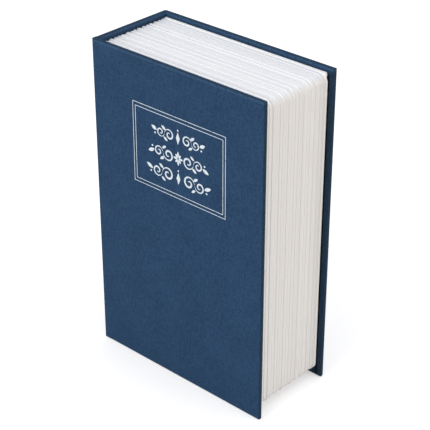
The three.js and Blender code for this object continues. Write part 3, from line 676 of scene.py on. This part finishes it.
straight_x, straight_z = pages_fore_x - page_corner, pages_high - page_corner
mid_z = (pages_low + pages_high) / 2
choose_all()
extrude_ring((tooth_long, 0, 0), rise=1)
extrude_ring((straight_x - pages_spine_x - tooth_long, 0, 0))
for centre_z, leg in ((straight_z, (0, 0, 2 * (mid_z - straight_z))),
                      (2 * mid_z - straight_z, (pages_spine_x + tooth_long - straight_x, 0, 0))):
    bpy.ops.mesh.spin(steps=12, angle=-math.pi / 2, axis=(0, 1, 0),
                      center=(straight_x * MM, 0, centre_z * MM))
    extrude_ring(leg)
extrude_ring((-tooth_long, 0, 0), rise=1)
wave_deep_head, wave_deep_tail, wave_wide, wave_rim = 0.15, 1.15, 4.2, 1.5
mesh = bmesh.from_edit_mesh(page_block.data)
for vertex in mesh.verts:
    y, z = vertex.co.yz / MM
    turned = min(1.0, max(0.0, (abs(z - mid_z) - (straight_z - mid_z)) / page_corner))
    inside = min(1.0, (y - pages_front_y) / wave_rim, (pages_back_y - y) / wave_rim)
    wave = (1 - math.cos(2 * math.pi * y / wave_wide + 0.9 * math.sin(0.5 * y))) / 2
    drop = -wave_deep_head if z > mid_z else wave_deep_tail
    vertex.co.z += drop * wave * inside * turned * MM
bmesh.update_edit_mesh(page_block.data)
ends = [[round(v / MM, 2) for v in corner] for corner in (
    [min(v.co[i] for v in mesh.verts) for i in range(3)],
    [max(v.co[i] for v in mesh.verts) for i in range(3)])]
print("swept:", ends, "faces:", len(mesh.faces))

# %% Fill its sides and cut the pan
for side_y in (pages_front_y, pages_back_y):
    choose("verts", lambda v: near(middle(v).y, side_y, reach=0.001))
    bpy.ops.mesh.edge_face_add()
choose("edges", lambda e: e.is_boundary)
bpy.ops.mesh.edge_face_add()
choose_all()
bpy.ops.mesh.normals_make_consistent(inside=False)

pan_x, pan_z = (-47.28, 45.7), (10.6, 169.4)
pan_corner = 3.4
seat_front_y, seat_wide = 21.96, 13.0


def cut_block(piece, low, high, corner=0):
    """Cut a block out of the piece, with round corners where a radius is given."""
    cutter = add_block("cutter", low, high)
    if corner:
        edit(cutter)
        choose("edges", lambda e: abs(direction(e).y) > 0.9)
        round_edges(corner, 8)
    combine(piece, cutter, "DIFFERENCE")


cut_block(page_block, (pan_x[0], pages_front_y - 2, pan_z[0]),
          (pan_x[1], seat_front_y, pan_z[1]), pan_corner)
cut_block(page_block, (pan_x[0] + seat_wide, seat_front_y - 2, pan_z[0] + seat_wide),
          (pan_x[1] - seat_wide, pages_back_y + 2, pan_z[1] - seat_wide), pan_corner)
smooth(page_block, 32)
page_block.data.materials.append(pages)
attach(page_block, "case")
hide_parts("page_block")
print(page_block.name, triangles(page_block), "triangles")

# %% [markdown]
# ## The stamped label
# A heated die presses white foil into the cloth: a frame of two thin lines, and inside it
# a binder's ornament of scrolls, leaves and beads in three rows. The foil lies level with
# the highest threads, so the cloth of the cover is set back by the foil's thickness. Foil
# doesn't reach the bottom of the weave, so specks of cloth show through.

# %% White foil finish
foil_white, tree, shader = new_finish("white stamping foil on cloth", Roughness=0.5)
place = add_node(tree, "TexCoord").outputs["Object"]
grain = add_node(tree, "TexNoise", {"Vector": place, "Scale": 1 / (0.9 * MM), "Detail": 2.0})
missed = add_node(tree, "MapRange", {"Value": grain, "From Min": 0.64, "From Max": 0.74})
foil_tones = add_node(tree, "Mix", {0: missed, 6: linear("#e1eaf0"), 7: linear("#7f93a6")},
                      data_type="RGBA")
bump = add_node(tree, "Bump", {"Height": grain, "Strength": 0.4, "Distance": 0.04 * MM})
feed_shader(shader, Base_Color=foil_tones.outputs[2], Normal=bump)
print("made", foil_white.name)


# %% Model each motif once
def flat_shape(name, count, outline):
    """A filled circle facing the reader, whose points are moved to an outline 1 mm long."""
    deselect_all()
    bpy.ops.mesh.primitive_circle_add(vertices=count, fill_type="NGON")
    shape = bpy.context.object
    shape.name = name
    for step, vertex in enumerate(shape.data.vertices):
        x, z = outline(2 * math.pi * step / count)
        vertex.co = Vector((x, 0, z)) * MM
    return shape


def leaf_outline(turn):
    return 0.5 * math.cos(turn), 0.5 * math.sin(turn) * abs(math.sin(turn))


def round_outline(turn):
    return 0.5 * math.cos(turn), 0.5 * math.sin(turn)


def curl_outline(turn):
    """A stroke that winds from its tail in to its eye and is thickest halfway."""
    along = turn / math.pi if turn <= math.pi else 2 - turn / math.pi
    half_wide = 0.07 * math.sin(math.pi * along) ** 0.6 if 0 < along < 1 else 0.0
    radius = 0.5 - 0.4 * along + (half_wide if turn <= math.pi else -half_wide)
    angle = along * math.radians(500)
    return radius * math.cos(angle), radius * math.sin(angle)


leaf = flat_shape("leaf", 20, leaf_outline)
bead = flat_shape("bead", 14, round_outline)
lozenge = flat_shape("lozenge", 4, round_outline)
curl = flat_shape("curl", 64, curl_outline)
motifs = [leaf, bead, lozenge, curl]
print("motifs:", [m.name for m in motifs])

# %% Stamp the ornament
label_x = 1.8
foil_copies = []


def stamp(model, x, z, size, turn=0.0, sides=(-1, 1)):
    """Copies of a motif, each with its own mesh, to the left and right of the middle."""
    for side in sides:
        copied = new_object(model.name + "_copy", model.data.copy())
        copied.data.transform(
            Matrix.Translation(Vector((label_x, front_y, z)) * MM)
            @ Matrix.Diagonal((side, 1, 1, 1))
            @ Matrix.Translation((x * MM, 0, 0))
            @ Matrix.Rotation(math.radians(-turn), 4, "Y")
            @ Matrix.Diagonal((size[0], 1, size[1], 1)))
        foil_copies.append(copied)


middle_row_z, top_reach = 132.3, 18.1
for row_z, reach, rise in ((143.4, top_reach, 1), (middle_row_z, 20.5, -1), (121.2, 22.0, 1)):
    size = reach / top_reach
    stamp(curl, 5.9 * size, row_z, (6.4 * size, 6.4 * size * rise))
    stamp(curl, 11.8 * size, row_z, (-5.4 * size, -5.4 * size * rise))
    stamp(leaf, 9.6 * size, row_z + 2.7 * size * rise, (3.6, 1.6), 35 * rise)
    stamp(leaf, 8.4 * size, row_z - 2.9 * size * rise, (3.2, 1.4), 35 * rise)
    stamp(leaf, 16.2 * size, row_z + 0.9 * rise, (4.0 * size, 2.0), 25 * rise)
    stamp(bead, 15.6 * size, row_z - 1.7 * rise, (1.1, 1.1))
    if row_z != middle_row_z:
        stamp(lozenge, 0, row_z, (2.6, 6.8), sides=(1,))
        stamp(bead, 0, row_z + 4.3 * rise, (1.0, 1.0), sides=(1,))
for step in range(8):
    long = 2.4 if step % 2 else 3.2
    angle = step * math.pi / 4
    out = 0.7 + long / 2
    stamp(leaf, math.cos(angle) * out * 0.75, middle_row_z + math.sin(angle) * out, (long, 1.3),
          step * 45, sides=(1,))
print("foil copies:", len(foil_copies))

# %% Draw the frame and press the foil
frame_line, foil_gap = 0.31, 0.002
frame_boxes = (((-29.2, 109.8), (33.2, 154.6)), ((-27.5, 111.8), (31.6, 152.6)))
for low, high in frame_boxes:
    deselect_all()
    centre = ((low[0] + high[0]) / 2 * MM, front_y * MM, (low[1] + high[1]) / 2 * MM)
    bpy.ops.mesh.primitive_plane_add(size=1, location=centre, rotation=(math.pi / 2, 0, 0))
    line = bpy.context.object
    line.scale = ((high[0] - low[0]) * MM, (high[1] - low[1]) * MM, 1)
    bpy.ops.object.transform_apply(location=True, rotation=True, scale=True)
    edit(line)
    choose_all()
    bpy.ops.mesh.inset(thickness=frame_line * MM)
    bpy.ops.mesh.delete(type="FACE")
    foil_copies.append(line)

deselect_all()
for copied in foil_copies:
    copied.select_set(True)
bpy.context.view_layer.objects.active = foil_copies[-1]
bpy.ops.object.join()
label_foil = bpy.context.object
label_foil.name = "label_foil"
edit(label_foil)
choose("faces", lambda f: f.normal.y > 0)
bpy.ops.mesh.flip_normals()
apply_modifier(label_foil, "SOLIDIFY", thickness=(foil_thick - foil_gap) * MM, offset=-1.0)
label_foil.data.materials.append(foil_white)
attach(label_foil, "front_cover")
for model in motifs:
    bpy.data.objects.remove(model)
print(label_foil.name, triangles(label_foil), "triangles")

# %% [markdown]
# ## Metal finishes
# Four metals meet inside. The box and lid are black powder coat: paint powder melts into a
# skin with a fine orange peel. Small steel parts are zinc plated and faintly blue and warm
# in patches. The lock is die-cast and polished chrome, which shows hairlines. The rivets
# are plain aluminium, with marks left by the setting tool.

# %% Powder coat
powder_coat, tree, shader = new_finish("black powder coat on steel", Roughness=0.42)
place = add_node(tree, "TexCoord").outputs["Object"]
peel = add_node(tree, "TexNoise", {"Vector": place, "Scale": 1 / (1.1 * MM), "Detail": 1.0})
speck = add_node(tree, "TexNoise", {"Vector": place, "Scale": 1 / (0.4 * MM)})
cloudy = add_node(tree, "TexNoise", {"Vector": place, "Scale": 1 / (30 * MM), "Detail": 3.0})
coat_tones = add_node(tree, "Mix", {0: cloudy, 6: linear("#1c1d1f"), 7: linear("#26272a")},
                      data_type="RGBA")
gloss = add_node(tree, "MapRange", {"Value": speck, "To Min": 0.36, "To Max": 0.5})
bump = add_node(tree, "Bump", {"Height": peel, "Strength": 0.35, "Distance": 0.05 * MM})
feed_shader(shader, Base_Color=coat_tones.outputs[2], Roughness=gloss, Normal=bump)
print("made", powder_coat.name)

# %% Zinc plate
zinc, tree, shader = new_finish("bright zinc plate on steel", Metallic=1.0)
place = add_node(tree, "TexCoord").outputs["Object"]
patches = add_node(tree, "TexNoise", {"Vector": place, "Scale": 1 / (5 * MM), "Detail": 3.0})
zinc_tones = add_node(tree, "ValToRGB", {0: patches})
for stop, (position, hexcode) in zip(zinc_tones.color_ramp.elements,
                                     ((0.38, "#c3c8cc"), (0.62, "#dcdad4"))):
    stop.position, stop.color = position, linear(hexcode)
# The lines that drawing leaves on the steel are about 0.8 mm wide and 20 mm long.
drawn = add_node(tree, "Mapping", {"Vector": place, "Scale": (300.0, 300.0, 12.0)})
lines = add_node(tree, "TexNoise", {"Vector": drawn, "Scale": 4.0})
gloss = add_node(tree, "MapRange", {"Value": lines, "To Min": 0.24, "To Max": 0.46})
bump = add_node(tree, "Bump", {"Height": lines, "Strength": 0.2, "Distance": 0.02 * MM})
feed_shader(shader, Base_Color=zinc_tones, Roughness=gloss, Normal=bump)
print("made", zinc.name)

# %% Chrome and aluminium
chrome, tree, shader = new_finish("polished chrome on die-cast zinc", Metallic=1.0,
                                  Base_Color=linear("#d9dbde"))
place = add_node(tree, "TexCoord").outputs["Object"]
wiped = add_node(tree, "TexNoise", {"Vector": place, "Scale": 1 / (2.5 * MM), "Detail": 4.0})
gloss = add_node(tree, "MapRange", {"Value": wiped, "To Min": 0.06, "To Max": 0.2})
feed_shader(shader, Roughness=gloss)
print("made", chrome.name)

aluminium, tree, shader = new_finish("plain aluminium rivet", Metallic=1.0,
                                     Base_Color=linear("#cfd1d3"))
place = add_node(tree, "TexCoord").outputs["Object"]
marks = add_node(tree, "TexNoise", {"Vector": place, "Scale": 1 / (0.8 * MM), "Detail": 2.0})
gloss = add_node(tree, "MapRange", {"Value": marks, "To Min": 0.3, "To Max": 0.5})
bump = add_node(tree, "Bump", {"Height": marks, "Strength": 0.3, "Distance": 0.03 * MM})
feed_shader(shader, Roughness=gloss, Normal=bump)
print("made", aluminium.name)

# %% [markdown]
# ## Paper and board
# The endpapers are plain white wood-free paper, dull, with a cloudy formation that shows at
# a low angle. The boards under the cloth are grey pulp board with darker flecks, and they
# show only at the joint when the cover stands open.

# %% Paper and greyboard
paper, tree, shader = new_finish("uncoated white endpaper", Roughness=0.88)
place = add_node(tree, "TexCoord").outputs["Object"]
clouds, fibres = (
    add_node(tree, "TexNoise", {"Vector": place, "Scale": 1 / (wide * MM), "Detail": detail})
    for wide, detail in ((6, 5.0), (0.7, 2.0)))
paper_tones = add_node(tree, "Mix", {0: clouds, 6: linear("#ececee"), 7: linear("#f4f4f5")},
                       data_type="RGBA")
bump = add_node(tree, "Bump", {"Height": fibres, "Strength": 0.25, "Distance": 0.04 * MM})
feed_shader(shader, Base_Color=paper_tones.outputs[2], Normal=bump)

greyboard, tree, shader = new_finish("pressed grey pulp board", Roughness=0.92)
place = add_node(tree, "TexCoord").outputs["Object"]
pulp = add_node(tree, "TexNoise", {"Vector": place, "Scale": 1 / (0.6 * MM), "Detail": 3.0})
board_tones = add_node(tree, "ValToRGB", {0: pulp})
for stop, (position, hexcode) in zip(board_tones.color_ramp.elements,
                                     ((0.36, "#77756f"), (0.56, "#a3a19a"))):
    stop.position, stop.color = position, linear(hexcode)
feed_shader(shader, Base_Color=board_tones)
print("made", paper.name, "and", greyboard.name)

# %% [markdown]
# ## Sheet and small parts of the frame
# The box, the lid, the hinge leaves and the fixings already have the right shape. Each is
# copied, its loose triangles are merged, flat faces are joined again, and a fine bevel
# breaks the edges as stamping and paint do, so that they catch the light.

# %% Copy and finish the metal pieces
merge_reach = 0.000002


def copy_node(node_name, ending):
    """A copy of a piece of the frame with its flat faces joined, left in edit mode."""
    piece = new_object(node_name + ending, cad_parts[node_name].data.copy())
    piece.data.materials.clear()
    edit(piece)
    choose_all()
    bpy.ops.mesh.remove_doubles(threshold=merge_reach)
    bpy.ops.mesh.dissolve_limited(angle_limit=math.radians(1.5))
    return piece


metal_pieces = {
    "steel_box": ("case", "box_paint", powder_coat, 0.25),
    "lid": ("lid", "box_paint", powder_coat, 0.25),
    "hinge_box_leaf": ("case", "zinc_plate", zinc, 0.08),
    "hinge_lid_leaf": ("lid", "zinc_plate", zinc, 0.08),
    "hinge_pin": ("case", "zinc_plate", zinc, 0.1),
    "strike": ("case", "zinc_plate", zinc, 0.15),
    "lock_washer": ("lid", "zinc_plate", zinc, 0.08),
    "lock_nut": ("lid", "zinc_plate", zinc, 0.2),
    "lock_cam": ("lock_core", "zinc_plate", zinc, 0.15),
    "cam_washer": ("lock_core", "zinc_plate", zinc, 0.08),
    "cam_screw": ("lock_core", "zinc_plate", zinc, 0.06),
}
for number in range(1, 5):
    metal_pieces[f"rivet_{number}"] = ("case", "rivet_alloy", aluminium, 0.05)
for node_name, (body, slot_name, finish, edge) in metal_pieces.items():
    piece = copy_node(node_name, "_dressed")
    apply_modifier(piece, "BEVEL", width=edge * MM, segments=2, limit_method="ANGLE",
                   angle_limit=math.radians(40), use_clamp_overlap=True)
    smooth(piece, 35)
    piece.data.materials.append(finish)
    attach(piece, body)
    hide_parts(node_name)
    print(piece.name, triangles(piece), "triangles")

# %% [markdown]
# The endpapers are trimmed a little short at the fore edge, so that only a dark gap shows
# between the pages and the cover there. At the head they reach just past the pages, and
# their nearly square corners peep out behind the pages' round ones, while those at the tail
# are cut as round as the pages. Each is copied from the frame, drawn in and given those
# corners. The boards keep the frame's shape and only get their finish.

# %% Trim the endpapers and finish the boards
paper_fore_x, paper_trim, paper_corner = 53.4, 0.7, 0.8
for node_name, body in (("front_endpaper", "front_cover"), ("back_endpaper", "case")):
    piece = copy_node(node_name, "_trimmed")
    choose("verts", lambda v: near(middle(v).x, paper_fore_x))
    bpy.ops.transform.translate(value=(-paper_trim * MM, 0, 0))
    for at_head, radius in ((True, paper_corner), (False, page_corner)):
        choose("edges", lambda e: near(middle(e).x, paper_fore_x - paper_trim)
               and abs(direction(e).y) > 0.9 and (middle(e).z > mid_z) == at_head)
        round_edges(radius, 6)
    smooth(piece, 35)
    piece.data.materials.append(paper)
    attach(piece, body)
    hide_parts(node_name)
    print(piece.name, triangles(piece), "triangles")

for node_name in ("front_board", "spine_board", "back_board"):
    mesh_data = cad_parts[node_name].data
    mesh_data.materials.clear()
    mesh_data.materials.append(greyboard)
print("boards finished")

# %% [markdown]
# ## The cam lock
# The lock is turned, not stamped, so it is modelled as on a lathe: half a profile is spun
# round the lock's axis. The barrel is threaded for its nut and milled flat on two sides so
# that it can't turn in the lid, and the keyway is cut into the plug.

# %% Turn the barrel
lock_x, lock_z = 26.1, 90.0
flange_front, bore_step, lid_outer, barrel_back, cam_back = -21.3, -19.75, -19.48, -9.08, -7.48


def turned_piece(name, profile, steps=64):
    """Spin a closed profile of (radius, y) points round the lock's axis."""
    deselect_all()
    bpy.ops.mesh.primitive_circle_add(vertices=len(profile))
    piece = bpy.context.object
    piece.name = name
    for vertex, (radius, y) in zip(piece.data.vertices, profile):
        vertex.co = Vector((lock_x + radius, y, lock_z)) * MM
    edit(piece)
    choose_all()
    bpy.ops.mesh.spin(steps=steps, angle=2 * math.pi, axis=(0, 1, 0),
                      center=Vector((lock_x, 0, lock_z)) * MM)
    choose_all()
    bpy.ops.mesh.remove_doubles(threshold=merge_reach)
    bpy.ops.mesh.normals_make_consistent(inside=False)
    bpy.ops.object.mode_set(mode="OBJECT")
    return piece


thread_pitch, thread_depth, half_flats, tool_run = 0.8, 0.28, 7.0, 12
barrel_profile = [(5.95, bore_step), (5.95, flange_front + 0.25), (6.15, flange_front),
                  (7.3, flange_front), (7.45, flange_front + 0.12), (7.6, flange_front + 0.12),
                  (7.75, flange_front), (8.6, flange_front)]
barrel_profile += [(8.6 + 0.9 * math.sin(a), flange_front + 0.9 - 0.9 * math.cos(a))
                   for a in (0.4, 0.8, 1.2, math.pi / 2)]
barrel_profile += [(9.5, lid_outer - 0.12), (9.4, lid_outer - 0.02), (7.7, lid_outer - 0.02)]
y = lid_outer + 0.6
while y < barrel_back - 0.9:
    barrel_profile += [(8.0 - thread_depth, y), (8.0, y + thread_pitch / 2)]
    y += thread_pitch
barrel_profile += [(7.6, barrel_back), (5.15, barrel_back), (5.15, bore_step)]
lock_barrel = turned_piece("lock_barrel_turned", barrel_profile)
for side in (-1, 1):
    low, high = sorted((side * half_flats, side * tool_run))
    cut_block(lock_barrel, (lock_x + low, lid_outer - 0.01, lock_z - tool_run),
              (lock_x + high, barrel_back + 2, lock_z + tool_run))
print("barrel profile points:", len(barrel_profile))

# %% Turn the plug and cut its keyway
plug_front = flange_front + 0.15
plug_profile = [(0, plug_front), (5.45, plug_front), (5.65, plug_front + 0.06),
                (5.8, plug_front + 0.25), (5.8, bore_step - 0.2), (5.0, bore_step - 0.1),
                (5.0, barrel_back), (0, barrel_back)]
lock_plug = turned_piece("lock_plug_turned", plug_profile)
half_tail, half_keyway_wide, half_keyway_high, keyway_deep = 3, 0.75, 3.7, 8
square_tail = add_block("tail", (lock_x - half_tail, barrel_back - 1, lock_z - half_tail),
                        (lock_x + half_tail, cam_back, lock_z + half_tail))
combine(lock_plug, square_tail, "UNION")
cut_block(lock_plug,
          (lock_x - half_keyway_wide, plug_front - 1, lock_z - half_keyway_high),
          (lock_x + half_keyway_wide, plug_front + keyway_deep, lock_z + half_keyway_high))

for piece, body, node_name in ((lock_barrel, "lid", "lock_barrel"),
                               (lock_plug, "lock_core", "lock_plug")):
    smooth(piece, 35)
    piece.data.materials.append(chrome)
    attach(piece, body)
    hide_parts(node_name)
    print(piece.name, triangles(piece), "triangles")

# %% [markdown]
# ## Floor, backdrop and light
# The book stands on a white studio sweep. The camera and shiny metal see floor and backdrop
# as plain white, while the book's own soft shadow still darkens the floor. Large soft lamps
# light the front, the top and the fore edge at a level where a colour looks as it is written.

# %% Lay the floor
def seen_plain(tree):
    """1 for the camera's rays and those that mirrors and glass pass on, and 0 for the rest."""
    rays = add_node(tree, "LightPath")
    seen = rays.outputs["Is Camera Ray"]
    for kind in ("Is Glossy Ray", "Is Transmission Ray"):
        seen = add_node(tree, "Math", {0: seen, 1: rays.outputs[kind]},
                        operation="ADD", use_clamp=True)
    return seen


studio_white, tree, shader = new_finish("white studio sweep", Base_Color=linear("#e6e6e6"),
                                        Roughness=0.9, Emission_Color=(1, 1, 1, 1))
level = add_node(tree, "Math", {0: seen_plain(tree), 1: 0.42}, operation="MULTIPLY")
feed_shader(shader, Emission_Strength=level)
deselect_all()
bpy.ops.mesh.primitive_plane_add(size=12, location=(0, 0, -0.0002))
floor = bpy.context.object
floor.name = "floor"
floor.data.materials.append(studio_white)
print("floor:", floor.dimensions.x, "m")

# %% Light the backdrop
world = bpy.data.worlds.new("studio")
bpy.context.scene.world = world
world.use_nodes = True
tree = world.node_tree
plain = tree.nodes["Background"]
plain.inputs["Color"].default_value = (1, 1, 1, 1)
plain.inputs["Strength"].default_value = 0.55
white = add_node(tree, "Background", {"Color": (1, 1, 1, 1), "Strength": 1.0})
both = add_node(tree, "MixShader", {0: seen_plain(tree), 1: plain, 2: white})
feed(tree.nodes["World Output"].inputs["Surface"], both)
print("backdrop:", world.name)


# %% Place the lamps
def add_lamp(name, place, size, watts, colour):
    """A square soft lamp that points at the middle of the book."""
    data = bpy.data.lights.new(name, "AREA")
    data.size, data.energy, data.color = size, watts, linear(colour)[:3]
    lamp = new_object(name, data)
    lamp.location = place
    lamp.rotation_mode = "QUATERNION"
    away = Vector(place) - Vector((0, 0, 0.09))
    lamp.rotation_quaternion = away.to_track_quat("Z", "Y")


add_lamp("key lamp", (-0.2, -1.6, 1.2), 1.0, 14, "#ffffff")
add_lamp("top lamp", (0.1, 0.2, 1.8), 1.2, 7.6, "#f0f4ff")
add_lamp("side lamp", (1.7, 0.1, 0.8), 1.0, 7.4, "#fff3e5")
